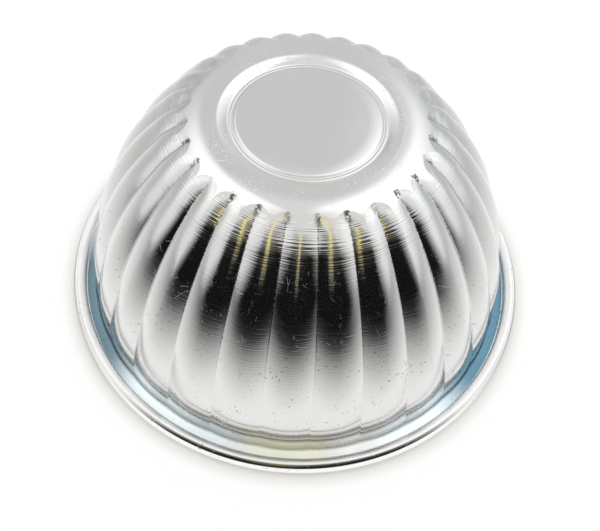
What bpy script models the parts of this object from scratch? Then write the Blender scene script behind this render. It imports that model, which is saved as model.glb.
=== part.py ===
"""Fluted aluminium jelly mould, modelled as it stands when turned out: mouth down, base up.

One sheet is drawn into a dome, pressed into flutes and rolled round a wire at its edge.
The origin is the centre of the mouth, on the surface that the rim stands on. Lengths are metres.
"""
from math import acos, asin, atan2, cos, hypot, pi, radians, sin, tau

import bmesh
import bpy
import numpy as np

# Sheet and rim
SHEET = 0.00045            # thickness of the aluminium
RIM_RADIUS = 0.045         # outside of the rolled edge
BEAD_RADIUS = 0.0013       # round section of the rolled edge, outside
WIRE_CLEARANCE = 0.0002    # left between the wire and the sheet rolled round it
LIP_GAP = 0.0003           # between the flange and the cut edge of the roll
GUTTER_WIDTH = 0.00195     # plain flange between the flutes and the bead
COVE_RADIUS = 0.0005       # inside corner where the wall turns into the flange

# Dome, measured over the crests of the flutes
HEIGHT = 0.0415            # standing height
WALL_DRAFT = radians(2.15)  # taper of the wall at the rim
WALL_RADIUS = 0.0559       # long curve of the wall
CONE_SLOPE = radians(41.3)  # straight stretch below the shoulder, from upright
SHOULDER_RADIUS = 0.01185  # round between the wall and the base ring

# Base: flat-topped ring round a sunk disc
BASE_LAND = 0.0012         # width of the flat that the mould stands on when it is filled
GROOVE_DEPTH = 0.0008      # groove floor below the land
GROOVE_WIDTH = 0.0007
RING_WIDTH_LEAST = 0.0010  # what the ring keeps between the groove and the land
STEP_HEIGHT = 0.00022      # small step from the groove up to the disc
STEP_WIDTH = 0.0004
DISC_RADIUS = 0.0119
DISC_RISE = 0.0002         # rolled margin of the disc
MARGIN_WIDTH = 0.0026
DISC_CROWN = 0.0001        # the flat of the disc swells by this much

# Flutes
FLUTES = 28
FLUTE_DEPTH = 0.121        # depth of a valley, in widths of its flute
ARCH_RADIUS = 0.0194       # distance of the arch tips from the axis
ARCH_RISE = 0.0024         # height of an arch, tip to cusp
ARCH_BITE = 0.60           # share of the depth taken close under the arch
BITE_LENGTH = 0.0012
RUN_IN = 0.0012            # length over which a valley comes to its full depth
ARCH_FADE = 0.0080         # rows follow the arches for this far below them
CREST_EDGE = 0.10          # how angular a crest is: 0 is round, 1 a plain V
SCOOP_SHARE = 0.70         # a flute starts as a round scoop, this share of the depth
SCOOP_LENGTH = 0.0035      # length over which the scoop turns into the sharp valley
RUN_OUT = 0.0151           # length over which the valleys fade above the flange
FOOT_SHARE = 0.18          # share of the depth that is left at the flange

# Fineness of the mesh
FLUTE_STEPS = 6            # facets across a flute
PLAIN_STEPS = 2            # facets a flute's width takes on the base and the rim
BEAD_STEP = radians(37)
WIRE_SIDES = 8
ARCH_ROWS = (0.0, 0.5, 1.6)   # rows below the arch tips, in arch heights
WALL_STEPS = 4                # rows from there down to the run-out
FOOT_STEPS = 2                # rows in the run-out

ALUMINIUM = (0.80, 0.80, 0.79, 1.0)
STEEL = (0.55, 0.55, 0.54, 1.0)


def material(name, colour, roughness):
    """A metal with one colour."""
    made = bpy.data.materials.new(name)
    made.use_nodes = True
    shader = made.node_tree.nodes["Principled BSDF"]
    shader.inputs["Base Color"].default_value = colour
    shader.inputs["Metallic"].default_value = 1.0
    shader.inputs["Roughness"].default_value = roughness
    return made


def arc(centre, radius, start, end, steps):
    """Points on an arc in the plane of the profile, both ends included."""
    angles = [start + (end - start) * i / steps for i in range(steps + 1)]
    return [(centre[0] + radius * cos(a), centre[1] + radius * sin(a)) for a in angles]


def wall_foot():
    """Where the crest of a flute ends, at the top of the cove."""
    bead_flank = RIM_RADIUS - 2 * BEAD_RADIUS
    return bead_flank - GUTTER_WIDTH, SHEET + COVE_RADIUS


def groove_edges():
    """Inner and outer radius of the groove's floor."""
    inner = DISC_RADIUS + STEP_WIDTH
    return inner, inner + GROOVE_WIDTH


def dome_profile():
    """Crest line from the base land down to the foot of the wall, as fine points.

    The wall's arc and the shoulder's arc share a tangent, the straight stretch. A low mould
    has no length left for it, so there the arcs meet, and a narrow one is steeper than the
    cone so that its base keeps the ring.
    """
    foot_r, foot_z = wall_foot()
    centre_r = foot_r - WALL_RADIUS * cos(WALL_DRAFT)
    centre_z = foot_z - WALL_RADIUS * sin(WALL_DRAFT)
    rise = HEIGHT - SHOULDER_RADIUS - centre_z
    spare = WALL_RADIUS - SHOULDER_RADIUS
    slope = min(CONE_SLOPE, asin(min(1.0, rise / spare)))
    land_edge = centre_r + (spare - rise * sin(slope)) / cos(slope)
    least = groove_edges()[1] + RING_WIDTH_LEAST + BASE_LAND
    if land_edge < least:
        land_edge, run = least, least - centre_r
        slope = atan2(rise, run) - acos(spare / hypot(rise, run))
    shoulder = arc((land_edge, HEIGHT - SHOULDER_RADIUS), SHOULDER_RADIUS, pi / 2, slope, 40)
    wall = arc((centre_r, centre_z), WALL_RADIUS, slope, WALL_DRAFT, 60)
    return np.array(shoulder + wall)


class Meridian:
    """The crest line by distance along it, counted from the arch tips downwards."""

    def __init__(self):
        points = dome_profile()
        steps = np.hypot(*np.diff(points, axis=0).T)
        along = np.concatenate([[0.0], np.cumsum(steps)])
        tip = np.interp(ARCH_RADIUS, points[:, 0], along)
        self.points, self.along = points, along - tip
        self.top, self.foot = self.along[0], self.along[-1]

    def at(self, distance):
        return tuple(np.interp(distance, self.along, self.points[:, i]) for i in (0, 1))

    def inward(self, distance):
        """Direction square to the crest line, into the sheet."""
        span = 0.0005
        (r0, z0), (r1, z1) = self.at(distance - span), self.at(distance + span)
        length = np.hypot(r1 - r0, z1 - z0)
        return (z1 - z0) / length, -(r1 - r0) / length

    def distance_of(self, z):
        return np.interp(-z, -self.points[:, 1], self.along)


def base_profile(meridian):
    """Disc, groove and ring, from the axis out to the base land."""
    land_edge = meridian.points[0][0]
    land_in = land_edge - BASE_LAND
    floor = HEIGHT - GROOVE_DEPTH
    edge = floor + STEP_HEIGHT
    groove_in, groove_out = groove_edges()
    margin = [(DISC_RADIUS - MARGIN_WIDTH * (1 - x), edge + DISC_RISE * (1 - x * x)) for x in (0, 0.6, 1)]
    ring = [(groove_out + (land_in - groove_out) * x, HEIGHT - GROOVE_DEPTH * (1 - x) ** 1.4)
            for x in (0, 0.6, 1)]
    return [(0.0, edge + DISC_RISE + DISC_CROWN), *margin, (groove_in, floor), *ring]


def rim_profile():
    """Cove, flange and roll, on the side of the sheet that is up and, in the roll, inside."""
    foot_r, foot_z = wall_foot()
    cove = arc((foot_r + COVE_RADIUS, foot_z), COVE_RADIUS, pi, 1.5 * pi, 2)[1:]
    inside = BEAD_RADIUS - SHEET
    lip = pi + np.arcsin((BEAD_RADIUS - SHEET - LIP_GAP) / BEAD_RADIUS)
    steps = round((lip + pi / 2) / BEAD_STEP)
    roll = arc((RIM_RADIUS - BEAD_RADIUS, BEAD_RADIUS), inside, -pi / 2, lip, steps)
    return cove + roll


def arch_drop(across):
    """How far below its tip an arch lies, at a share of the way from valley to crest."""
    return ARCH_RISE * (1 - np.sqrt(np.maximum(0.0, 1 - across * across)))


def ease(x):
    """Rise from 0 to 1 with level ends."""
    x = np.clip(x, 0, 1)
    return x * x * (3 - 2 * x)


def flute_depth(radius, below_arch, above_foot, across):
    """Depth of the pressed sheet below the crest line."""
    full = FLUTE_DEPTH * tau * radius / FLUTES
    bite = 1 - np.exp(-np.maximum(below_arch, 0) / BITE_LENGTH)
    run_in = ARCH_BITE * bite + (1 - ARCH_BITE) * ease(below_arch / RUN_IN)
    run_out = FOOT_SHARE + (1 - FOOT_SHARE) * ease(above_foot / RUN_OUT)
    side = 1 - across
    valley = CREST_EDGE * side + (1 - CREST_EDGE) * side * side
    scoop = SCOOP_SHARE * (1 - across * across)
    section = scoop + (valley - scoop) * ease(below_arch / SCOOP_LENGTH)
    return full * run_in * run_out * section


def press_flutes(mesh, meridian):
    """Move the turned dome's vertices onto the fluted form."""
    count = len(mesh.vertices)
    co = np.empty(count * 3)
    mesh.vertices.foreach_get("co", co)
    co = co.reshape(-1, 3)
    radius, z = np.hypot(co[:, 0], co[:, 1]), co[:, 2]
    turn = np.arctan2(co[:, 1], co[:, 0])
    flute = tau / FLUTES
    across = np.abs((turn / flute + 0.5) % 1 - 0.5) * 2

    foot_r, foot_z = wall_foot()
    tip_r = meridian.at(0.0)[0]
    on_wall = (radius > tip_r - 1e-6) & (radius < foot_r + 1e-6) & (z > foot_z - 1e-7)
    row = meridian.distance_of(z[on_wall])
    share = across[on_wall]
    drop = arch_drop(share)
    slid = row + drop * np.clip(1 - row / ARCH_FADE, 0, 1)
    crest_r, crest_z = meridian.at(slid)
    in_r, in_z = meridian.inward(slid)
    depth = flute_depth(crest_r, slid - drop, meridian.foot - slid, share)
    pressed_r = crest_r + in_r * depth
    co[on_wall, 0] = pressed_r * np.cos(turn[on_wall])
    co[on_wall, 1] = pressed_r * np.sin(turn[on_wall])
    co[on_wall, 2] = crest_z + in_z * depth

    # What is left of the flutes at the foot dies out round the cove.
    cove = (z <= foot_z - 1e-7) & (radius < foot_r + COVE_RADIUS - 1e-6)
    left = (foot_r + COVE_RADIUS - radius[cove]) / COVE_RADIUS
    depth = flute_depth(foot_r, meridian.foot, 0.0, across[cove]) * left
    co[cove, :2] *= (1 - depth / radius[cove])[:, None]
    mesh.vertices.foreach_set("co", co.ravel())
    mesh.update()


def thin_plain_bands(mesh, meridian):
    """Join facets on the base and the rim, which need fewer than the flutes do."""
    foot_r = wall_foot()[0]
    ring_edge = meridian.at(0.5 * meridian.top)[0]
    keep_every = FLUTE_STEPS // PLAIN_STEPS
    column_angle = tau / (FLUTES * FLUTE_STEPS)
    bm = bmesh.new()
    bm.from_mesh(mesh)
    spare = []
    for edge in bm.edges:
        middle = (edge.verts[0].co + edge.verts[1].co) / 2
        radius = middle.xy.length
        angles = [np.arctan2(v.co.y, v.co.x) for v in edge.verts if v.co.xy.length > 1e-6]
        runs_out = len(angles) == 1 or abs(angles[0] - angles[1]) < 0.1 * column_angle
        plain = radius < ring_edge or radius > foot_r + COVE_RADIUS + 1e-6
        column = round(angles[0] / column_angle)
        if plain and runs_out and column % keep_every:
            spare.append(edge)
    bmesh.ops.dissolve_edges(bm, edges=spare, use_verts=True)
    bm.to_mesh(mesh)
    bm.free()


def turned(name, points, steps):
    """Mesh of a profile turned about Z."""
    mesh = bpy.data.meshes.new(name)
    vertices = [(r, 0.0, z) for r, z in points]
    mesh.from_pydata(vertices, [(i, i + 1) for i in range(len(points) - 1)], [])
    profile = bpy.data.objects.new(name, mesh)
    bpy.context.scene.collection.objects.link(profile)
    screw = profile.modifiers.new("Turn", "SCREW")
    screw.steps = screw.render_steps = steps
    screw.use_merge_vertices = True
    screw.merge_threshold = 1e-6
    bpy.context.view_layer.update()
    evaluated = profile.evaluated_get(bpy.context.evaluated_depsgraph_get())
    solid = bpy.data.meshes.new_from_object(evaluated)
    solid.name = name
    bpy.data.objects.remove(profile)
    return solid


def mould_shell(collection):
    """The sheet: disc, ring, shoulder, flutes, flange and rolled edge."""
    meridian = Meridian()
    arches = [share * ARCH_RISE for share in ARCH_ROWS]
    run_out = meridian.foot - RUN_OUT
    wall = np.linspace(arches[-1], run_out, WALL_STEPS + 1)[1:]
    foot = np.linspace(run_out, meridian.foot, FOOT_STEPS + 1)[1:]
    distances = sorted({meridian.top, 0.35 * meridian.top, *arches, *wall, *foot})
    points = base_profile(meridian) + [meridian.at(distance) for distance in distances] + rim_profile()
    mesh = turned("mould_shell", points, FLUTES * FLUTE_STEPS)
    press_flutes(mesh, meridian)
    thin_plain_bands(mesh, meridian)
    mesh.shade_smooth()
    mesh.set_sharp_from_angle(angle=radians(38))
    shell = bpy.data.objects.new("mould_shell", mesh)
    collection.objects.link(shell)
    sheet = shell.modifiers.new("Sheet", "SOLIDIFY")
    sheet.thickness = SHEET
    sheet.offset = -1
    sheet.use_even_offset = True
    shell.data.materials.append(material("aluminium", ALUMINIUM, 0.18))
    return shell


def rim_wire(collection):
    """Stiffening wire in the rolled edge."""
    centre = RIM_RADIUS - BEAD_RADIUS
    wire_radius = BEAD_RADIUS - SHEET - WIRE_CLEARANCE
    bpy.ops.mesh.primitive_torus_add(
        major_radius=centre, minor_radius=wire_radius,
        major_segments=FLUTES * PLAIN_STEPS, minor_segments=WIRE_SIDES, location=(0, 0, BEAD_RADIUS))
    wire = bpy.context.object
    wire.name = wire.data.name = "rim_wire"
    for owner in list(wire.users_collection):
        owner.objects.unlink(wire)
    collection.objects.link(wire)
    wire.data.shade_smooth()
    wire.data.materials.append(material("steel_wire", STEEL, 0.35))
    return wire


def main():
    for old in list(bpy.data.objects):
        bpy.data.objects.remove(old)
    collection = bpy.data.collections.new("jelly_mould")
    bpy.context.scene.collection.children.link(collection)
    mould_shell(collection)
    rim_wire(collection)


main()
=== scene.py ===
"""Looks of the fluted jelly mould: bright turned aluminium on a pale floor, in soft studio light.

The sheet is built again here, finer than the CAD solid, and replaces it. Lengths are in metres and
angles in radians, except where a comment says millimetres or degrees.
"""
from math import asin, atan2, cos, pi, radians, sin, tau

import bpy
import numpy as np
from mathutils import Matrix, Vector


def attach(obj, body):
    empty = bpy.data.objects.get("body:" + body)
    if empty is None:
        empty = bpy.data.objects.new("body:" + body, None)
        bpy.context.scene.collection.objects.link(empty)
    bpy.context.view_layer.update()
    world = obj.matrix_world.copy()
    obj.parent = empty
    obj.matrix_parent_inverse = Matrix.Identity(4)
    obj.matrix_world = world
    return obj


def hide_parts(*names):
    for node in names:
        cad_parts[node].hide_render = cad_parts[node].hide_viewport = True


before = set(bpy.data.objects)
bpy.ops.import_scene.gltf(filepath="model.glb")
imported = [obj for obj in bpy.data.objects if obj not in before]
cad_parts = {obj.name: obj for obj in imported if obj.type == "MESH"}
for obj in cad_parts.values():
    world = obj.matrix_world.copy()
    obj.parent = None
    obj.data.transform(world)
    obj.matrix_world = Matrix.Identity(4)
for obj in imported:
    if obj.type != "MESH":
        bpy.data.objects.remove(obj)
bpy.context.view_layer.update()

MM = 1000                # millimetres in a metre
DEGREES = 180 / pi       # degrees in a radian

# Sizes that are the same in the part's source
SHEET = 0.00045
RIM_RADIUS = 0.045
BEAD_RADIUS = 0.0013
GUTTER_WIDTH = 0.00195
COVE_RADIUS = 0.0005
HEIGHT = 0.0415
WALL_DRAFT = radians(2.15)
WALL_RADIUS = 0.0559
CONE_SLOPE = radians(41.3)
SHOULDER_RADIUS = 0.01185
BASE_LAND = 0.0012
GROOVE_DEPTH = 0.0008
GROOVE_WIDTH = 0.0007
STEP_HEIGHT = 0.00022
STEP_WIDTH = 0.0004
DISC_RADIUS = 0.0119
MARGIN_WIDTH = 0.0026
DISC_CROWN = 0.0001
FLUTES = 28
FLUTE_DEPTH = 0.121
ARCH_RADIUS = 0.0194
ARCH_RISE = 0.0024
ARCH_FADE = 0.0080
CREST_EDGE = 0.10
RUN_OUT = 0.0151
FOOT_SHARE = 0.18

# Sizes tuned to the photo after the solid was made, so they differ from the source
LIP_GAP = 0.00008
DISC_RISE = 0.00015
ARCH_BITE = 0.52
BITE_LENGTH = 0.0006
RUN_IN = 0.0038
SCOOP_SHARE = 0.62
SCOOP_LENGTH = 0.0024

# Forms that the source doesn't have: a ridge in the groove, and the corners of the roll's outer
# side, burnished flat in three bands, each corner by direction and distance from the centre line
GROOVE_RIDGE = 0.00006
ROLL_CORNERS = ((radians(-25), 0.0013), (radians(0), 0.00118),
                (radians(46.6), 0.00105), (radians(82), 0.0013))

# How the ring rises from the groove to the land: the power of its curve
RING_CURVE = 1.4

# Fineness of the visible sheet: vertices from a valley to its crest, and round a plain ring
HALF_FLUTE = (0.0, 0.03, 0.10, 0.22, 0.36, 0.52, 0.68, 0.82, 0.93)
HALF_FLUTE_INSIDE = (0.0, 0.10, 0.36, 0.70)
BASE_COLUMNS = 168
RIM_COLUMNS = 224

# Rings of the base, as shares of the way over each stretch from the axis outwards. The groove's
# rings have the height of its ridge there as well.
DISC_RINGS = np.linspace(0.02, 1, 9)
MARGIN_RINGS = np.linspace(0.12, 1, 8)
STEP_RINGS = (0.25, 0.5, 0.75, 1.0)
GROOVE_RINGS = ((0.2, 0), (0.35, 0.7), (0.5, 1), (0.65, 0.7), (0.8, 0))
RISE_RINGS = np.linspace(0, 1, 9)
LAND_RINGS = (0.33, 0.67, 1.0)

# Rows of the cove, flange and roll
COVE_ROWS, COVE_ROWS_INSIDE = 6, 5
FLANGE_ROWS = (0.3, 0.6)
ROLL_ROWS, ROLL_ROWS_INSIDE = 48, 12
ROLL_TURN = 5.1          # about how far round the roll goes
FIRST_ROW = 0.02         # first row of the base inside, just off the end of its table

# Steps either way that the slope of a surface is measured over: down the dome in metres, down the
# other surfaces in radians or rows, and round the axis
DOME_STEP, OTHER_STEP, TURN_STEP = 5e-5, 1e-3, 1e-4


# Shape

def arc(centre, radius, start, end, steps):
    """Points on an arc in the plane of the profile, both ends included."""
    angles = np.linspace(start, end, steps + 1)
    return [(centre[0] + radius * cos(a), centre[1] + radius * sin(a)) for a in angles]


def wall_foot():
    """Where the crest of a flute ends, at the top of the cove."""
    return RIM_RADIUS - 2 * BEAD_RADIUS - GUTTER_WIDTH, SHEET + COVE_RADIUS


def dome_profile(shoulder_steps=80, wall_steps=160):
    """Crest line from the base land down to the foot of the wall."""
    foot_r, foot_z = wall_foot()
    centre_r = foot_r - WALL_RADIUS * cos(WALL_DRAFT)
    centre_z = foot_z - WALL_RADIUS * sin(WALL_DRAFT)
    rise = HEIGHT - SHOULDER_RADIUS - centre_z
    spare = WALL_RADIUS - SHOULDER_RADIUS
    land_edge = centre_r + (spare - rise * sin(CONE_SLOPE)) / cos(CONE_SLOPE)
    shoulder = arc((land_edge, HEIGHT - SHOULDER_RADIUS), SHOULDER_RADIUS,
                   pi / 2, CONE_SLOPE, shoulder_steps)
    wall = arc((centre_r, centre_z), WALL_RADIUS, CONE_SLOPE, WALL_DRAFT, wall_steps)
    return np.array(shoulder + wall)


# The crest line by distance along it, counted from the arch tips downwards
POINTS = dome_profile()
ALONG = np.concatenate([[0.0], np.cumsum(np.hypot(*np.diff(POINTS, axis=0).T))])
ALONG -= np.interp(ARCH_RADIUS, POINTS[:, 0], ALONG)
TOP, FOOT = ALONG[0], ALONG[-1]
LAND_EDGE = POINTS[0][0]

# Rows of the dome by that distance, dense at the arches: start, end and count of each stretch
# outside, and the start and then the end and count of each inside, on the way back up
OUTSIDE_ROWS = ((TOP, -0.0004, 9), (-0.0003, 0.0012, 16), (0.0014, 0.0040, 14),
                (0.0043, ARCH_FADE, 13), (0.0085, FOOT - RUN_OUT, 42),
                (FOOT - RUN_OUT, FOOT, 22))
END_GAP = 1e-5           # keeps the first and last row inside off the ends of the crest line
INSIDE_START = FOOT - END_GAP
INSIDE_ROWS = ((FOOT - RUN_OUT, 9), (0.006, 26), (0.0, 14), (TOP + END_GAP, 5))


def crest(distance):
    """Radius and height of the crest line."""
    return np.interp(distance, ALONG, POINTS[:, 0]), np.interp(distance, ALONG, POINTS[:, 1])


def inward(distance, chord=0.0005):
    """Direction square to the crest line, into the sheet."""
    r0, z0 = crest(distance - chord)
    r1, z1 = crest(distance + chord)
    length = np.hypot(r1 - r0, z1 - z0)
    return (z1 - z0) / length, -(r1 - r0) / length


def across_flute(turn):
    """0 in the valley between two flutes, 1 on the crest."""
    return np.abs((turn * FLUTES / tau + 0.5) % 1 - 0.5) * 2


def arch_drop(across):
    """How far below its tip an arch lies."""
    return ARCH_RISE * (1 - np.sqrt(np.maximum(0.0, 1 - across * across)))


def ease(x):
    """Smooth step from 0 to 1."""
    x = np.clip(x, 0, 1)
    return x * x * (3 - 2 * x)


def flute_depth(radius, below_arch, above_foot, across):
    """Depth of the pressed sheet below the crest line."""
    full = FLUTE_DEPTH * tau * radius / FLUTES
    bite = 1 - np.exp(-np.maximum(below_arch, 0) / BITE_LENGTH)
    run_in = ARCH_BITE * bite + (1 - ARCH_BITE) * ease(below_arch / RUN_IN)
    run_out = FOOT_SHARE + (1 - FOOT_SHARE) * ease(above_foot / RUN_OUT)
    side = 1 - across
    valley = CREST_EDGE * side + (1 - CREST_EDGE) * side * side
    scoop = SCOOP_SHARE * (1 - across * across)
    section = scoop + (valley - scoop) * ease(below_arch / SCOOP_LENGTH)
    return full * run_in * run_out * section


def bent(row, turn):
    """Place in the flute, the arch's drop there, and the row's distance once bent by the arch."""
    across = across_flute(turn)
    drop = arch_drop(across)
    slide = np.clip(1 - row / ARCH_FADE, 0, 1) * np.clip(1 - row / TOP, 0, 1)
    return across, drop, row + drop * slide


def dome(row, turn):
    """Radius and height of the fluted dome at row distances and turns."""
    across, drop, slid = bent(row, turn)
    r, z = crest(slid)
    in_r, in_z = inward(slid)
    depth = flute_depth(r, slid - drop, FOOT - slid, across)
    return r + in_r * depth, z + in_z * depth


def cove(angle, turn):
    """The same for the corner between wall and flange, with what is left of the flutes."""
    foot_r, foot_z = wall_foot()
    r = foot_r + COVE_RADIUS * (1 - np.cos(angle))
    z = foot_z - COVE_RADIUS * np.sin(angle)
    depth = flute_depth(foot_r, FOOT, 0.0, across_flute(turn)) * np.cos(angle)
    return r - depth, z + 0 * turn


def plain(points):
    """The same for a turned stretch without flutes: row numbers pick the points."""
    table = np.array(points)
    count = np.arange(len(table))

    def at(row, turn):
        return (np.interp(row, count, table[:, 0]) + 0 * turn,
                np.interp(row, count, table[:, 1]) + 0 * turn)
    return at


def base_points():
    """Disc, groove and ring, from near the axis out to the base land."""
    floor = HEIGHT - GROOVE_DEPTH
    edge = floor + STEP_HEIGHT
    groove_in = DISC_RADIUS + STEP_WIDTH
    groove_out = groove_in + GROOVE_WIDTH
    land_in = LAND_EDGE - BASE_LAND
    flat_r, flat_z = DISC_RADIUS - MARGIN_WIDTH, edge + DISC_RISE
    points = [(x * flat_r, flat_z + DISC_CROWN * (1 - x * x)) for x in DISC_RINGS]
    points += [(flat_r + MARGIN_WIDTH * x, edge + DISC_RISE * (1 - x * x)) for x in MARGIN_RINGS]
    points += [(DISC_RADIUS + STEP_WIDTH * x, edge - STEP_HEIGHT * ease(x)) for x in STEP_RINGS]
    points += [(groove_in + GROOVE_WIDTH * x, floor + ridge * GROOVE_RIDGE)
               for x, ridge in GROOVE_RINGS]
    points += [(groove_out + (land_in - groove_out) * x,
                HEIGHT - GROOVE_DEPTH * (1 - x) ** RING_CURVE) for x in RISE_RINGS]
    points += [(land_in + BASE_LAND * x, HEIGHT) for x in LAND_RINGS]
    return points


def roll_points(radius, steps):
    """The rolled edge at that distance from its centre line, from under it round to the lip."""
    lip = pi + asin((BEAD_RADIUS - SHEET - LIP_GAP) / BEAD_RADIUS)
    return arc((RIM_RADIUS - BEAD_RADIUS, BEAD_RADIUS), radius, -pi / 2, lip, steps)


def flattened(r, z):
    """The roll with its burnished bands, each straight from corner to corner."""
    at = atan2(z - BEAD_RADIUS, r - (RIM_RADIUS - BEAD_RADIUS))
    for (start, near), (end, far) in zip(ROLL_CORNERS, ROLL_CORNERS[1:]):
        if start < at < end:
            away = (near * far * sin(end - start)
                    / (near * sin(at - start) + far * sin(end - at)))
            return RIM_RADIUS - BEAD_RADIUS + away * cos(at), BEAD_RADIUS + away * sin(at)
    return r, z


def turns_of(columns):
    """Turns of evenly spaced columns."""
    return np.linspace(0, tau, columns, endpoint=False)


def flute_turns(half):
    """Turns of the columns, close together at the valleys and crests."""
    across = np.array([*half, 1.0, *[-x for x in half[:0:-1]]])
    share = np.where(across < 0, 1 + across / 2, across / 2)
    return (np.arange(FLUTES)[:, None] + share[None, :]).ravel() * tau / FLUTES


class Sheet:
    """Collects rings of vertices and the faces between them, from one tip on the axis to another.

    Each vertex keeps two distances down the sheet: along, and turned, which the arches bend.
    """

    def __init__(self):
        self.vertices, self.faces, self.along, self.turned, self.last = [], [], [], [], None

    def add(self, points, along, turned=None):
        """Adds vertices and gives the number of the first."""
        start = sum(len(ring) for ring in self.vertices)
        self.vertices.append(points)
        self.along.append(np.full(len(points), along))
        self.turned.append(self.along[-1] if turned is None else turned)
        return start

    def ring(self, radius, z, turn, along, turned=None):
        """A ring, joined to the ring before it or to the tip that the sheet starts at."""
        points = np.stack([radius * np.cos(turn), radius * np.sin(turn), z + 0 * turn], 1)
        start, count = self.add(points, along, turned), len(turn)
        if self.last is None:
            self.faces += [(start - 1, start + i, start + (i + 1) % count) for i in range(count)]
        else:
            self.join(self.last, (start, turn))
        self.last = start, turn

    def tip(self, z, along):
        """A point on the axis, which the sheet starts at or closes to."""
        tip = self.add(np.array([[0.0, 0.0, z]]), along)
        if self.last is not None:
            first, turn = self.last
            count = len(turn)
            self.faces += [(first + i, tip, first + (i + 1) % count) for i in range(count)]

    def join(self, a, b):
        """Quads between rings of one count, triangles between rings of two."""
        (sa, ta), (sb, tb) = a, b
        na, nb = len(ta), len(tb)
        if na == nb:
            self.faces += [(sa + i, sb + i, sb + (i + 1) % na, sa + (i + 1) % na)
                           for i in range(na)]
            return
        i = j = 0
        ends_a, ends_b = np.append(ta[1:], tau), np.append(tb[1:], tau)
        while i < na or j < nb:
            if j >= nb or (i < na and ends_a[i] <= ends_b[j]):
                self.faces.append((sa + i, sb + j % nb, sa + (i + 1) % na))
                i += 1
            else:
                self.faces.append((sa + i % na, sb + j, sb + (j + 1) % nb))
                j += 1


def under(surface, row, turn):
    """The point one sheet thickness behind a surface, measured square to it."""
    def place(v, t):
        r, z = surface(v, t)
        return np.stack([r * np.cos(t), r * np.sin(t), z], -1)
    dv, dt = DOME_STEP if surface is dome else OTHER_STEP, TURN_STEP
    here = place(row, turn)
    down = place(row + dv, turn) - place(row - dv, turn)
    n_left = np.cross(here - place(row, turn - dt), down)
    n_right = np.cross(place(row, turn + dt) - here, down)
    n_left /= np.linalg.norm(n_left, axis=-1, keepdims=True)
    n_right /= np.linalg.norm(n_right, axis=-1, keepdims=True)
    both = (n_left + n_right) / (1 + (n_left * n_right).sum(-1, keepdims=True))
    return here + SHEET * both


def add_under(sheet, surface, row, turn, along):
    """A ring one sheet thickness behind a surface."""
    p = under(surface, np.full(len(turn), row), turn)
    sheet.ring(np.hypot(p[:, 0], p[:, 1]), p[:, 2], turn, along)


def add_outside(sheet, base, around):
    """The outside, from beside the axis down to the cove."""
    for r, z in base[:-1]:
        sheet.ring(r, z, around, TOP - LAND_EDGE + r)
    fine = flute_turns(HALF_FLUTE)
    for row in np.unique(np.concatenate([np.linspace(*rows) for rows in OUTSIDE_ROWS])):
        r, z = dome(np.full(len(fine), row), fine)
        sheet.ring(r, z, fine, row, bent(row, fine)[2])
    for angle in np.linspace(0, pi / 2, COVE_ROWS)[1:]:
        r, z = cove(np.full(len(fine), angle), fine)
        sheet.ring(r, z, fine, FOOT + COVE_RADIUS * angle)


def add_edge(sheet):
    """Flange and roll: out along the upper side, round the wire to the lip, and back."""
    rim = turns_of(RIM_COLUMNS)
    flange_from = wall_foot()[0] + COVE_RADIUS
    flange_to = RIM_RADIUS - BEAD_RADIUS
    width = flange_to - flange_from
    cove_end = FOOT + COVE_RADIUS * pi / 2
    roll_start = cove_end + flange_to - flange_from
    for x in FLANGE_ROWS:
        sheet.ring(flange_from + width * x, SHEET, rim, cove_end + width * x)
    for r, z in roll_points(BEAD_RADIUS - SHEET, ROLL_ROWS_INSIDE):
        sheet.ring(r, z, rim, roll_start)
    outer = [flattened(*point) for point in roll_points(BEAD_RADIUS, ROLL_ROWS)[::-1]]
    for (r, z), angle in zip(outer, np.linspace(ROLL_TURN, 0, len(outer))):
        sheet.ring(r, z, rim, roll_start + BEAD_RADIUS * angle)
    for x in FLANGE_ROWS[::-1]:
        sheet.ring(flange_from + width * x, 0.0, rim, cove_end)


def add_inside(sheet, base, around):
    """The inside, from the cove back up to the axis."""
    turns = flute_turns(HALF_FLUTE_INSIDE)
    for angle in np.linspace(pi / 2, 0, COVE_ROWS_INSIDE)[:-1]:
        add_under(sheet, cove, angle, turns, FOOT)
    rows = [INSIDE_START]
    for end, count in INSIDE_ROWS:
        rows += list(np.linspace(rows[-1], end, count)[1:])
    for row in rows:
        add_under(sheet, dome, row, turns, row)
    turned_base = plain(base)
    for number in range(len(base) - 2, -1, -2):      # every other ring is enough inside
        add_under(sheet, turned_base, float(max(number, FIRST_ROW)), around, TOP - LAND_EDGE)


def mould():
    """The whole sheet as one closed mesh."""
    sheet, base, around = Sheet(), base_points(), turns_of(BASE_COLUMNS)
    top_z = HEIGHT - GROOVE_DEPTH + STEP_HEIGHT + DISC_RISE + DISC_CROWN
    sheet.tip(top_z, TOP - LAND_EDGE)
    add_outside(sheet, base, around)
    add_edge(sheet)
    add_inside(sheet, base, around)
    sheet.tip(top_z - SHEET, TOP - LAND_EDGE)
    return sheet


def linked(name, data):
    """A new object in the scene."""
    made = bpy.data.objects.new(name, data)
    bpy.context.scene.collection.objects.link(made)
    return made


def make_shell():
    """The visible sheet, with both distances on its points for the material."""
    sheet = mould()
    mesh = bpy.data.meshes.new("mould_sheet")
    vertices = np.concatenate(sheet.vertices).tolist()
    mesh.from_pydata(vertices, [], [tuple(f) for f in sheet.faces])
    for name, values in (("along", sheet.along), ("turned", sheet.turned)):
        made = mesh.attributes.new(name, "FLOAT", "POINT")
        made.data.foreach_set("value", np.concatenate(values).astype(np.float32))
    mesh.shade_smooth()
    mesh.validate()
    return linked("mould_sheet", mesh)


# Node trees

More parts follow.
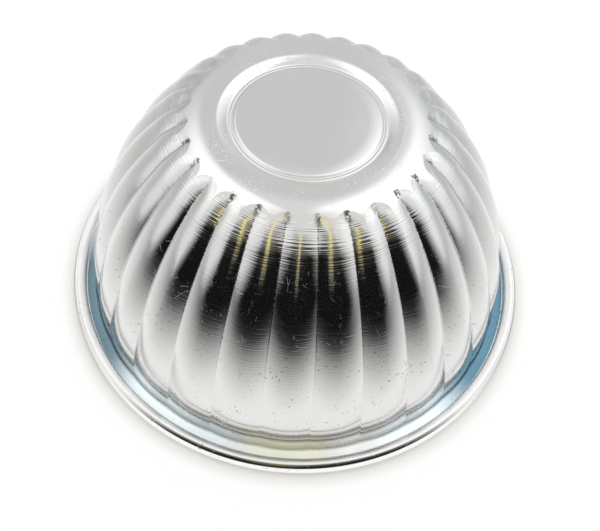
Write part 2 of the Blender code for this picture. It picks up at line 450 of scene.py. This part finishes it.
class Value:
    """A number in a node tree, which Python's own signs work on."""

    def __init__(self, tree, socket):
        self.tree, self.socket = tree, socket

    def op(self, kind, *others):
        """A math node on this number and others."""
        node = self.tree.nodes.new("ShaderNodeMath")
        node.operation = kind
        for place, value in enumerate((self, *others)):
            put(self.tree, value, node.inputs[place])
        return Value(self.tree, node.outputs[0])

    def __add__(self, other):
        return self.op("ADD", other)

    def __sub__(self, other):
        return self.op("SUBTRACT", other)

    def __rsub__(self, other):
        return (self * -1.0) + other

    def __mul__(self, other):
        return self.op("MULTIPLY", other)

    def __truediv__(self, other):
        return self.op("DIVIDE", other)

    __radd__, __rmul__ = __add__, __mul__

    def abs(self):
        return self.op("ABSOLUTE")

    def step(self, start, end, low=0.0, high=1.0):
        """Smooth step from low at start to high at end."""
        node = self.tree.nodes.new("ShaderNodeMapRange")
        node.interpolation_type = "SMOOTHSTEP"
        for place, value in enumerate((self, start, end, low, high)):
            put(self.tree, value, node.inputs[place])
        return Value(self.tree, node.outputs[0])

    def band(self, start, full, last, end):
        """0 up to start, 1 from full to last, 0 again from end."""
        return self.step(start, full) * self.step(last, end, 1.0, 0.0)


def put(tree, value, socket):
    """Wire a value or a socket into a socket, or set it."""
    if isinstance(value, (Value, bpy.types.NodeSocket)):
        tree.links.new(getattr(value, "socket", value), socket)
    else:
        socket.default_value = value


def mix_colours(tree, share, a, b):
    """Colour a where share is 0, b where it is 1."""
    node = tree.nodes.new("ShaderNodeMix")
    node.data_type = "RGBA"
    put(tree, share, node.inputs[0])
    put(tree, a, node.inputs[6])
    put(tree, b, node.inputs[7])
    return Value(tree, node.outputs[2])


def parts(tree, vector):
    """The three numbers of a vector or colour."""
    node = tree.nodes.new("ShaderNodeSeparateXYZ")
    tree.links.new(vector, node.inputs[0])
    return [Value(tree, output) for output in node.outputs]


def vector_of(tree, x, y, z):
    """A vector or colour from three numbers."""
    node = tree.nodes.new("ShaderNodeCombineXYZ")
    for place, value in enumerate((x, y, z)):
        put(tree, value, node.inputs[place])
    return Value(tree, node.outputs[0])


def grey(tree, level, cast=(1.0, 1.0, 0.99)):
    """A colour of that level, with a cast."""
    return vector_of(tree, *[level * c for c in cast])


def coordinates(tree, kind="Object"):
    return tree.nodes.new("ShaderNodeTexCoord").outputs[kind]


def attribute(tree, name):
    """A value that the mesh carries on its points."""
    node = tree.nodes.new("ShaderNodeAttribute")
    node.attribute_name = name
    return Value(tree, node.outputs["Fac"])


def turn_at(x, y):
    """Turn about the axis, 0 at the front and growing to the right."""
    return x.op("ARCTAN2", y * -1.0)


def reach_at(x, y):
    """Distance from the axis."""
    return (x * x + y * y).op("SQRT")


def ray(tree, *kinds):
    """1 for rays of any of these kinds."""
    node = tree.nodes.new("ShaderNodeLightPath")
    made = Value(tree, node.outputs[kinds[0]])
    for kind in kinds[1:]:
        made = made.op("MAXIMUM", Value(tree, node.outputs[kind]))
    return made


def shader_of(tree, kind, colour, strength=None):
    """A shader node with its colour and, where it shines, its strength."""
    node = tree.nodes.new(kind)
    put(tree, colour, node.inputs[0])
    if strength is not None:
        put(tree, strength, node.inputs[1])
    return node


def give_out(tree, kind, share, a, b):
    """Shader a where share is 0, b where it is 1, as what the tree gives out."""
    mixed = tree.nodes.new("ShaderNodeMixShader")
    put(tree, share, mixed.inputs[0])
    tree.links.new(a.outputs[0], mixed.inputs[1])
    tree.links.new(b.outputs[0], mixed.inputs[2])
    tree.links.new(mixed.outputs[0], tree.nodes.new(kind).inputs[0])


def new_material(name):
    """A material and its node tree."""
    made = bpy.data.materials.new(name)
    made.use_nodes = True
    return made, made.node_tree


# Studio

WHITE = (1, 1, 1, 1)
PAPER = (0.93, 0.915, 0.88, 1)

# What the metal mirrors, by turn from the front and lift above the floor, in degrees. Stretches
# that are dimmer than the grey room: their middle, how far from it and at which lifts they start
# and are full, and the loss.
ROOM = 0.84
DIMMER = ((0, (140, 172), (70, 50), 0.14),        # behind
          (-132, (44, 20), (32, 18), 0.26),       # low at the left, behind
          (124, (34, 14), (34, 12), 0.22))        # low at the right, behind

# Brighter stretches: turns and lifts where they start, are full, full for the last time and end,
# and the gain
BRIGHTER = (((-170, -154, -112, -88), (30, 52, 72, 88), 0.45),      # soft box behind, at the left
            ((78, 102, 148, 168), (24, 50, 70, 84), 0.50),          # and at the right
            ((-118, -98, -84, -66), (8, 24, 50, 70), 0.16),         # paler stretch beside each
            ((52, 76, 104, 124), (2, 16, 46, 66), 0.20))

# Dark front: turns of its two edges at floor height, how far they lean with the lift, and up to
# which lift the left one does
FRONT_LEFT, FRONT_RIGHT = (-83, -59), (76, 48)
LEAN_LEFT, LEAN_RIGHT, LEAN_END = 0.8, 0.6, 30.0
FRONT_TOP = (76, 52)                              # lifts where it ends and is full
BLACK, PALER, PALER_LIFTS = 0.006, 0.66, (22, 76)

# Yellow streak in its middle: half width, lifts where it starts and is full, and the gain
FRONT_MIDDLE = -8
STREAK_WIDTH, STREAK_LIFTS, STREAK_GAIN = (9.5, 4.0), (18, 34), 0.58
STREAK_COLOUR, STREAK_COLOUR_LIFTS, STREAK_COLOUR_SHARE = (1.0, 0.88, 0.28, 1), (84, 68), 0.9

# Casts: cool at the right, brown in the front above the black
COOL, COOL_TURNS, COOL_LIFTS = (0.95, 0.985, 1, 1), (70, 90, 140, 160), (40, 20)
BROWN, BROWN_MIDDLE, BROWN_WIDTH = (1.0, 0.86, 0.60, 1), 2, (42, 24)
BROWN_LIFTS, BROWN_SHARE = (20, 30), 0.55

# Floor, and what the metal mirrors of it: the radius where it starts to darken and the length it
# does so over, and a dark strip beside the rim
FLOOR_HALF, FLOOR_GAP = 3.0, 0.00005
DARK_FROM, DARK_OVER = 0.054, 0.052
FLOOR_GLOW, DARK_ALL_ROUND, DARK_IN_FRONT, DARK_STRIP = 1.02, 0.40, 0.59, 0.50
FLOOR_FRONT = (98, 38)                            # half width of its dark front, in degrees
STRIP_TURNS, STRIP_RADII = (30, 62), (0.0505, 0.0465)
# Near the rim the glow gives way to the warm matt paper. The real soft shadow shows there, and
# also painted shade, as the paper is darker and warmer than the glow even where unshaded.
SHADOW_RADII, SHADOW_LIT = (0.0449, 0.0480), (0.05, 0.88)


def mirrored_room(tree):
    """Colour and strength of what the metal mirrors: a bright top, a pale back, a dark front."""
    x, y, z = parts(tree, coordinates(tree, "Generated"))
    lift = z.op("ARCSINE") * DEGREES
    turn = turn_at(x, y) * DEGREES
    level = ROOM
    for middle, apart, lifts, loss in DIMMER:
        level = level - (turn - middle).abs().step(*apart) * lift.step(*lifts) * loss
    for turns, lifts, gain in BRIGHTER:
        level = level + turn.band(*turns) * lift.band(*lifts) * gain

    front = (turn - lift.op("MINIMUM", LEAN_END) * LEAN_LEFT).step(*FRONT_LEFT)
    front = front * (turn + lift * LEAN_RIGHT).step(*FRONT_RIGHT) * lift.step(*FRONT_TOP)
    streak = (turn - FRONT_MIDDLE).abs().step(*STREAK_WIDTH) * lift.step(*STREAK_LIFTS)
    dim = BLACK + lift.step(*PALER_LIFTS) * PALER + streak * STREAK_GAIN
    level = level * (1.0 - front) + dim * front

    cool = turn.band(*COOL_TURNS) * lift.step(*COOL_LIFTS)
    brown = front * lift.step(*BROWN_LIFTS) * (turn - BROWN_MIDDLE).abs().step(*BROWN_WIDTH)
    colour = mix_colours(tree, cool, WHITE, COOL)
    colour = mix_colours(tree, brown * BROWN_SHARE, colour, BROWN)
    yellow = streak * lift.step(*STREAK_COLOUR_LIFTS) * STREAK_COLOUR_SHARE
    return mix_colours(tree, yellow, colour, STREAK_COLOUR), level


def make_world():
    """White all round to the eye, and the room where the metal mirrors it."""
    world = bpy.data.worlds.new("studio")
    bpy.context.scene.world = world
    world.use_nodes = True
    tree = world.node_tree
    tree.nodes.clear()
    white = shader_of(tree, "ShaderNodeBackground", WHITE, 1.0)
    mirrored = shader_of(tree, "ShaderNodeBackground", *mirrored_room(tree))
    give_out(tree, "ShaderNodeOutputWorld", ray(tree, "Is Glossy Ray"), white, mirrored)


def make_floor():
    """A pale floor that keeps the mould's soft shadow, with painted shade near the rim. Metal
    mirrors it dark towards the front.
    """
    mesh = bpy.data.meshes.new("floor")
    corners = ((-1, -1), (1, -1), (1, 1), (-1, 1))
    mesh.from_pydata([(x * FLOOR_HALF, y * FLOOR_HALF, 0) for x, y in corners], [], [(0, 1, 2, 3)])
    floor = linked("floor", mesh)
    floor.location.z = -FLOOR_GAP
    made, tree = new_material("floor_paper")
    tree.nodes.clear()
    x, y, _ = parts(tree, coordinates(tree))
    turn, reach = turn_at(x, y) * DEGREES, reach_at(x, y)
    mirrored = ray(tree, "Is Glossy Ray")
    far = 1.0 - ((DARK_FROM - reach) / DARK_OVER).op("MINIMUM", 0.0).op("EXPONENT")
    front = (turn - FRONT_MIDDLE).abs().step(*FLOOR_FRONT)
    strip = turn.abs().step(*STRIP_TURNS) * reach.step(*STRIP_RADII)
    dark = far * (DARK_ALL_ROUND + front * DARK_IN_FRONT) + strip * DARK_STRIP
    lit = reach.step(*SHADOW_RADII, *SHADOW_LIT)
    lit = lit.op("MAXIMUM", mirrored * far).op("MAXIMUM", mirrored * strip)
    lit = lit * ray(tree, "Is Camera Ray", "Is Glossy Ray", "Is Transmission Ray")
    matt = shader_of(tree, "ShaderNodeBsdfDiffuse", PAPER)
    glow = shader_of(tree, "ShaderNodeEmission", WHITE, FLOOR_GLOW - mirrored * dark)
    give_out(tree, "ShaderNodeOutputMaterial", lit, matt, glow)
    mesh.materials.append(made)


# Materials

# Stretches of the sheet in millimetres down it from the flute tips. Four numbers are where a
# thing starts, is full, is full for the last time and ends; two are where it starts and is full.
FOOT_MM = FOOT * MM
GUTTER_END = (FOOT + COVE_RADIUS * (pi / 2 - 1) + GUTTER_WIDTH) * MM
RINGED_WALL = (0.2, 3.0, 34.0, FOOT_MM - 2)
RINGED_TOP = (0.2, 1.0, 6.0, 10.0)
SCRATCHED = (2.0, 8.0)
SPECKED = (14, 26)
SCUFFED = (2.0, 6.0, 26.0, 36.0)
DUSTED = (0.5, 0.0)
PAINTED_SHADE_TIP = (-0.35, 0.0, 0.8, 2.4)
PAINTED_SHADE_VALLEY = (0.2, 1.2, 12.0, 30.0)
PAINTED_LIGHT_FOOT = (FOOT_MM - 5, FOOT_MM - 1)
PAINTED_LIGHT_FLANK = (GUTTER_END + 4.3, GUTTER_END + 5.2)
PAINTED_REFLECTION_GUTTER = (FOOT_MM - 0.3, FOOT_MM + 0.1, GUTTER_END - 0.15, GUTTER_END)
DULL_GUTTER = (FOOT_MM - 2.5, FOOT_MM, GUTTER_END - 0.1, GUTTER_END + 0.1)
DULL_CORNER = (FOOT_MM - 3.0, FOOT_MM - 0.8, FOOT_MM + 0.5, FOOT_MM + 0.8)

# The same in millimetres from the axis
SPUN_MARGIN = (8.6, 10.4, 12.6, 13.0)
DULL_GROOVE = (11.5, 11.9, 12.9, 13.3)
DUSTED_RING = (12.5, 14.0, 17.0, 18.2)

# Painted reflections in the gutter, by turn in degrees: pale where plain, blue-green to both
# sides, deeper at the left and the right, yellow-green at the front
GUTTER_PAINTED_PLAIN = (0.94, 0.95, 0.94, 1)
GUTTER_SIDES_PAINTED_REFLECTION = ((12, 26, 96, 112), (0.84, 0.92, 0.95, 1))
GUTTER_PAINTED_REFLECTIONS = (((-104, -90, -62, -46), (0.16, 0.25, 0.29, 1)),
                ((32, 50, 90, 104), (0.13, 0.26, 0.35, 1)),
                ((-17, -13, 1, 7), (0.96, 0.98, 0.84, 1)))

# Turning rings: cells of noise to a millimetre and their detail, and the depth in metres. A pair
# of depths is on the wall and just below the flute tips.
RIPPLE, RIPPLE_DEPTHS = (3.2, 1.5), (8e-6, 54e-6)
GROOVE, GROOVE_DEPTHS = (6.5, 1.0), (7e-6, 20e-6)
HAIR, HAIR_DEPTH = (10.0, 1.0), 2.6e-6
SPUN, SPUN_DEPTH, LESS_ON_WALL, MORE_ON_MARGIN = (4.0, 1.5), 0.8e-6, 0.6e-6, 1.2e-6
WANDER_BY, SCRATCH_DEPTH = 0.5, 4e-6              # wander in millimetres

# Noise over the sheet: cells to a metre, and detail
CLOUDS, FINE, GRIT, WORN = (130, 3), (900, 2), (2600, 1), (190, 1)
WANDER, PATCHES, BEND = (70, 1), (300, 2), (260, 1)

# Strokes: millimetres to a radian round the sheet, and by how many noise bends them
STROKE_RADIUS, BEND_BY = 36, 2.4

# Turns where the painted shade at the flute tips and valleys starts and is full, and the share of
# it that is left all round
TIP_TURNS, TIP_LEFT = (radians(102), radians(74)), 0.12
VALLEY_TURNS, VALLEY_LEFT = (radians(75), radians(40)), 0.2

# Level of the metal's colour, how uneven it is, and the painted light that makes the bottom paler;
# how much darker the specks and the painted shade make it
LEVEL, UNEVEN, PAINTED_LIGHT_GAIN = 0.80, 0.05, 0.16
SPECK_DARK, PAINTED_SHADE_DARK = 0.72, 0.68

# Roughness of the bare metal, and how much rougher each of these is
ROUGHNESS = 0.075
ROUGHER = {"gutter": 0.20, "corner": 0.22, "flank": 0.35, "groove": 0.18, "scratches": 0.50,
           "specks": 0.4, "painted_shade": 0.35, "scuffs": 0.3, "dust": 0.5}


def noise(tree, at, scale, detail=2.0, dimensions="3D"):
    """Cloudy noise about 0.5, at a vector or, in one dimension, at a number."""
    node = tree.nodes.new("ShaderNodeTexNoise")
    node.noise_dimensions = dimensions
    node.inputs["Scale"].default_value = scale
    node.inputs["Detail"].default_value = detail
    put(tree, at, node.inputs["W" if dimensions == "1D" else "Vector"])
    return Value(tree, node.outputs["Fac"])


def rings(tree, distance, to_mm, detail):
    """Rings about 0 by a distance in millimetres, that many cells of noise to each."""
    return noise(tree, distance * to_mm, 1.0, detail, "1D") - 0.5


def strokes(tree, u, v, cell, length, width, share, seed):
    """Short lines strewn over a surface, at most one to a cell, each with its turn and length."""
    node = tree.nodes.new("ShaderNodeTexVoronoi")
    node.voronoi_dimensions = "2D"
    node.inputs["Scale"].default_value = 1 / cell
    u = u + seed
    put(tree, vector_of(tree, u, v, 0.0), node.inputs["Vector"])
    at_u, at_v, _ = parts(tree, node.outputs["Position"])
    turn, size, pick = parts(tree, node.outputs["Color"])
    turn = turn * tau
    cos_t, sin_t = turn.op("COSINE"), turn.op("SINE")
    du, dv = u - at_u, v - at_v
    lengthwise = (du * cos_t + dv * sin_t).abs()
    crosswise = (dv * cos_t - du * sin_t).abs()
    on = crosswise.step(width, width * 0.3) * (lengthwise - size * length).step(width, -width)
    return on * pick.step(share + 0.01, share - 0.01)


def fitted(tree, colour, roughness, height):
    """Sets the tree's own shader to metal."""
    shader = tree.nodes["Principled BSDF"]
    put(tree, colour, shader.inputs["Base Color"])
    put(tree, roughness, shader.inputs["Roughness"])
    shader.inputs["Metallic"].default_value = 1.0
    bump = tree.nodes.new("ShaderNodeBump")
    bump.inputs["Strength"].default_value = 1.0
    bump.inputs["Distance"].default_value = 1.0
    put(tree, height, bump.inputs["Height"])
    tree.links.new(bump.outputs[0], shader.inputs["Normal"])


class Place:
    """Where a point of the sheet is, in millimetres and radians, and what noise is there."""

    def __init__(self, tree):
        self.here = coordinates(tree)
        x, y, z = parts(tree, self.here)
        self.turn = turn_at(x, y)
        self.radius = reach_at(x, y) * MM
        self.down = attribute(tree, "along") * MM
        self.across = ((self.turn * (FLUTES / tau) + 0.5).op("FRACT") - 0.5).abs() * 2
        self.clouds = noise(tree, self.here, *CLOUDS)
        self.fine = noise(tree, self.here, *FINE)
        self.grit = noise(tree, self.here, *GRIT)
        # Round and down the sheet, about in millimetres, bent by noise, for the strokes
        bend_u = noise(tree, self.here, *BEND) - 0.5
        bend_v = noise(tree, vector_of(tree, y, z, x), *BEND) - 0.5
        self.u = self.turn * STROKE_RADIUS + bend_u * BEND_BY
        self.v = self.down + bend_v * BEND_BY


def turning_rings(tree, at):
    """Height of the ripples round the axis, in metres, deepest just below the flute tips."""
    wander = (noise(tree, at.here, *WANDER) - 0.5) * WANDER_BY
    turned = attribute(tree, "turned") * MM + wander
    ripple, groove = rings(tree, turned, *RIPPLE), rings(tree, turned, *GROOVE)
    hair, spun = rings(tree, turned, *HAIR), rings(tree, at.radius, *SPUN)
    wall, top = at.down.band(*RINGED_WALL), at.down.band(*RINGED_TOP)
    margin = at.radius.band(*SPUN_MARGIN)
    patch = noise(tree, at.here, *PATCHES).step(0.36, 0.64, 0.35, 1.0)
    height = 0.0
    for kind, (on_wall, on_top) in ((ripple, RIPPLE_DEPTHS), (groove, GROOVE_DEPTHS)):
        height = height + kind * patch * (wall * on_wall + top * on_top)
    height = height + hair * (wall * HAIR_DEPTH)
    return height + spun * (SPUN_DEPTH - wall * LESS_ON_WALL + margin * MORE_ON_MARGIN)


def scratched(tree, at, worn):
    """Three kinds of scratches, in about millimetres: common short ones, long ones and nicks."""
    made = strokes(tree, at.u, at.v, cell=2.2, length=0.8, width=0.050, share=0.60, seed=0.0)
    made = made * (worn * 0.7 + 0.3)
    long = strokes(tree, at.u, at.v, cell=4.0, length=1.9, width=0.045, share=0.60, seed=31.0)
    nicks = strokes(tree, at.u, at.v, cell=1.2, length=0.14, width=0.060, share=0.50, seed=53.0)
    made = made.op("MAXIMUM", long * worn).op("MAXIMUM", nicks * worn)
    return made * at.down.step(*SCRATCHED)


def paint_shade(tree, at):
    """Painted shade: dark flute tips and dotted valley lines, both stronger towards the front."""
    spread = noise(tree, at.turn * 7.0, 1.0, 0.0, "1D").step(0.34, 0.60, 0.25, 1.0)
    tip = at.down.band(*PAINTED_SHADE_TIP) * at.across.step(0.30, 0.10) * spread
    tip = tip * at.turn.abs().step(*TIP_TURNS, TIP_LEFT)
    dots = noise(tree, vector_of(tree, at.down * 1.6, at.turn * 9, 0.0), 1.0, 2)
    line = at.across.step(0.07, 0.02) * at.down.band(*PAINTED_SHADE_VALLEY) * dots.step(0.46, 0.58)
    line = line * at.turn.abs().step(*VALLEY_TURNS, VALLEY_LEFT)
    return (tip * (at.fine + at.grit).step(0.86, 1.02)).op("MAXIMUM", line * 0.75)


def painted_gutter_reflection(tree, turn):
    """Colour of the metal in the gutter, with painted reflections by turn."""
    turns, reflected_colour = GUTTER_SIDES_PAINTED_REFLECTION
    colour = mix_colours(tree, turn.abs().band(*turns), GUTTER_PAINTED_PLAIN, reflected_colour)
    for turns, reflected_colour in GUTTER_PAINTED_REFLECTIONS:
        colour = mix_colours(tree, turn.band(*turns), colour, reflected_colour)
    return colour


def aluminium():
    """Bright aluminium: turning rings, scratches, specks, dust, painted shade in the creases and
    at the flute tips, a bottom painted paler, and painted reflections in the gutter.
    """
    made, tree = new_material("aluminium_turned")
    at = Place(tree)
    worn = noise(tree, at.here, *WORN).step(0.44, 0.62)
    scratches = scratched(tree, at, worn)
    specks = strokes(tree, at.u, at.v, cell=1.1, length=0.16, width=0.130, share=0.44, seed=7.0)
    specks = specks * worn * at.down.step(*SPECKED)
    scuffs = at.across.step(0.86, 0.97) * at.down.band(*SCUFFED) * at.fine.step(0.52, 0.66) * 0.6
    dust = at.grit.step(0.58, 0.67) * at.radius.band(*DUSTED_RING) * at.clouds.step(0.42, 0.62)
    dust = dust * at.down.step(*DUSTED)
    # Painted shade: darker flute tips and valley lines, stronger towards the front.
    painted_shade = paint_shade(tree, at)
    # Painted light: the bottom stretch, and the roll's outer side once more, are painted paler.
    low, flank = at.down.step(*PAINTED_LIGHT_FOOT), at.down.step(*PAINTED_LIGHT_FLANK)
    uneven = (at.clouds - 0.5) * UNEVEN

    level = LEVEL + uneven + (low + flank) * PAINTED_LIGHT_GAIN - specks * SPECK_DARK - painted_shade * PAINTED_SHADE_DARK
    # Painted reflection: the gutter takes coloured patches by turn, standing in for what it
    # mirrors.
    colour = mix_colours(tree, at.down.band(*PAINTED_REFLECTION_GUTTER), grey(tree, level),
                         painted_gutter_reflection(tree, at.turn * DEGREES))
    where = {"gutter": at.down.band(*DULL_GUTTER), "corner": at.down.band(*DULL_CORNER),
             "flank": flank, "groove": at.radius.band(*DULL_GROOVE), "scratches": scratches,
             "specks": specks, "painted_shade": painted_shade, "scuffs": scuffs, "dust": dust}
    rough = ROUGHNESS + uneven
    for name, more in ROUGHER.items():
        rough = rough + where[name] * more
    fitted(tree, colour, rough, turning_rings(tree, at) - scratches * SCRATCH_DEPTH)
    return made


def wire():
    """Drawn steel wire, with its die lines."""
    made, tree = new_material("steel_drawn")
    here = coordinates(tree)
    x, y, z = parts(tree, here)
    lines = noise(tree, vector_of(tree, reach_at(x, y) * 30, z * 30, 0.0), 90, 3)
    spots = noise(tree, here, 500, 2)
    colour = grey(tree, 0.50 + lines * 0.10, cast=(1.0, 0.995, 0.98))
    fitted(tree, colour, 0.28 + spots * 0.14, lines * 2e-6)
    return made


# Camera

VIEW_LIFT, VIEW_ROLL, VIEW_TURN = radians(57.28), radians(3.14), radians(-5.19)
VIEW_CENTRE, VIEW_DISTANCE = Vector((-0.00367, 0, -0.00738)), 0.1588
SENSOR_MM, LENS_MM = 36.0, 44.16
SHIFT = 0.0387, 0.0247


def make_camera():
    """The photograph's view, solved from the base disc, the arches, the rim and the outline."""
    right = Vector((1, 0, 0))
    back = Vector((0, -cos(VIEW_LIFT), sin(VIEW_LIFT)))
    up = Vector((0, sin(VIEW_LIFT), cos(VIEW_LIFT)))
    x = right * cos(VIEW_ROLL) + up * sin(VIEW_ROLL)
    y = up * cos(VIEW_ROLL) - right * sin(VIEW_ROLL)
    place = Matrix((x, y, back)).transposed().to_4x4()
    place.translation = VIEW_CENTRE + back * VIEW_DISTANCE
    data = bpy.data.cameras.new("view")
    data.sensor_width, data.lens = SENSOR_MM, LENS_MM
    data.shift_x, data.shift_y = SHIFT
    data.clip_start, data.clip_end = 0.005, 20
    camera = linked("view", data)
    camera.matrix_world = Matrix.Rotation(VIEW_TURN, 4, "Z") @ place
    bpy.context.scene.camera = camera


def main():
    shell = make_shell()
    shell.data.materials.append(aluminium())
    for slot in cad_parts["rim_wire"].material_slots:
        slot.material = wire()
    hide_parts("mould_shell")
    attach(shell, "root")
    make_world()
    make_floor()
    make_camera()
    bpy.context.scene.view_settings.view_transform = "Standard"


main()
